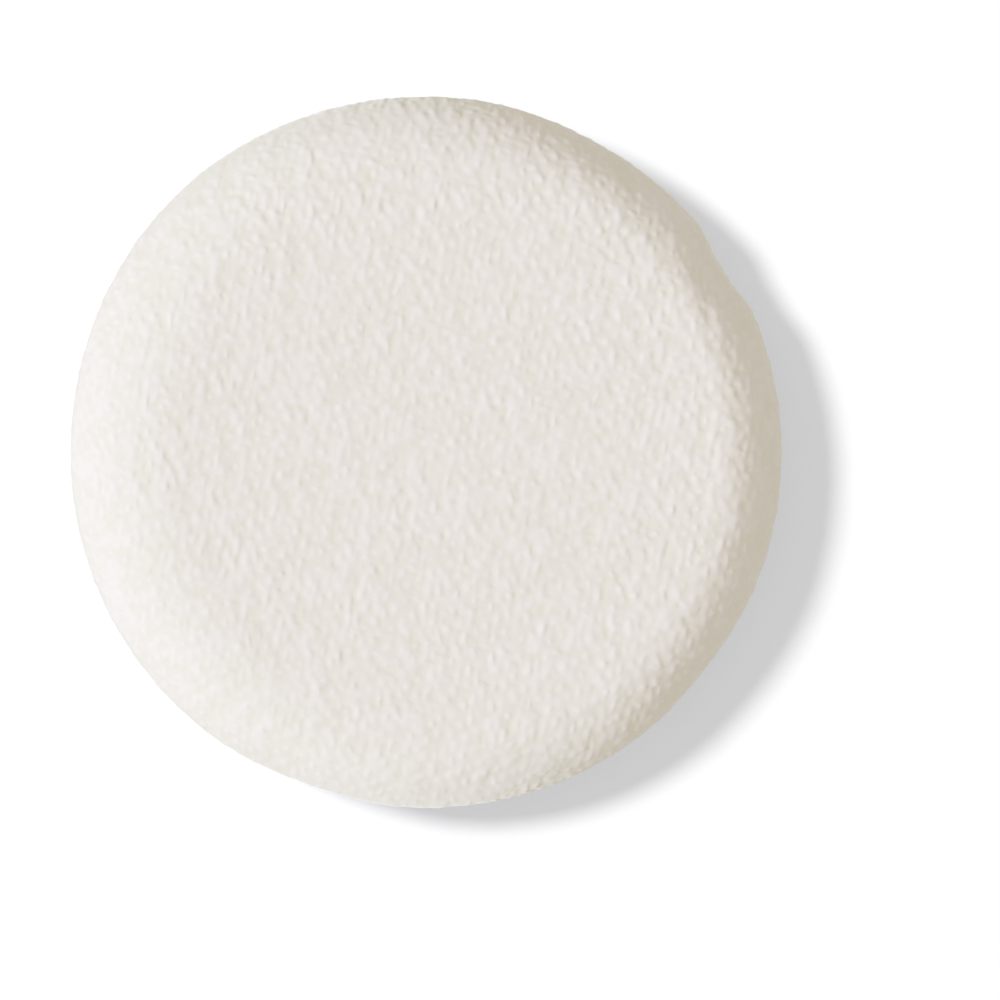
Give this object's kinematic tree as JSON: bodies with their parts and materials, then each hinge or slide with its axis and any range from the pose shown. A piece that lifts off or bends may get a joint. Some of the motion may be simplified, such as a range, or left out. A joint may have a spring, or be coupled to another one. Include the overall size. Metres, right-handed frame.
{
  "type": "powder puff",
  "caption": "Round soft velour powder puff with a crowned face, a rolled edge sewn at the middle and a foam core, for picking up and pressing on face powder.",
  "frame": {"origin": "middle of the flat on the back, where the puff rests", "axes": "+Z out of the front face along the puff's axis; +X and +Y lie in the plane of the puff, with the dent of the closed turning gap 32 degrees from +X towards +Y"},
  "size_m": [0.0696, 0.0696, 0.0141],
  "materials": {
    "velour": "matte ivory knitted velour with a short soft pile",
    "foam": "matte cream open-cell foam",
    "thread": "matte ivory spun sewing thread"
  },
  "bodies": {
    "root": {"front_cover": "velour", "back_cover": "velour", "foam_core": "foam", "needle_thread": "thread", "bobbin_thread": "thread", "closing_thread": "thread"}
  },
  "joints": []
}
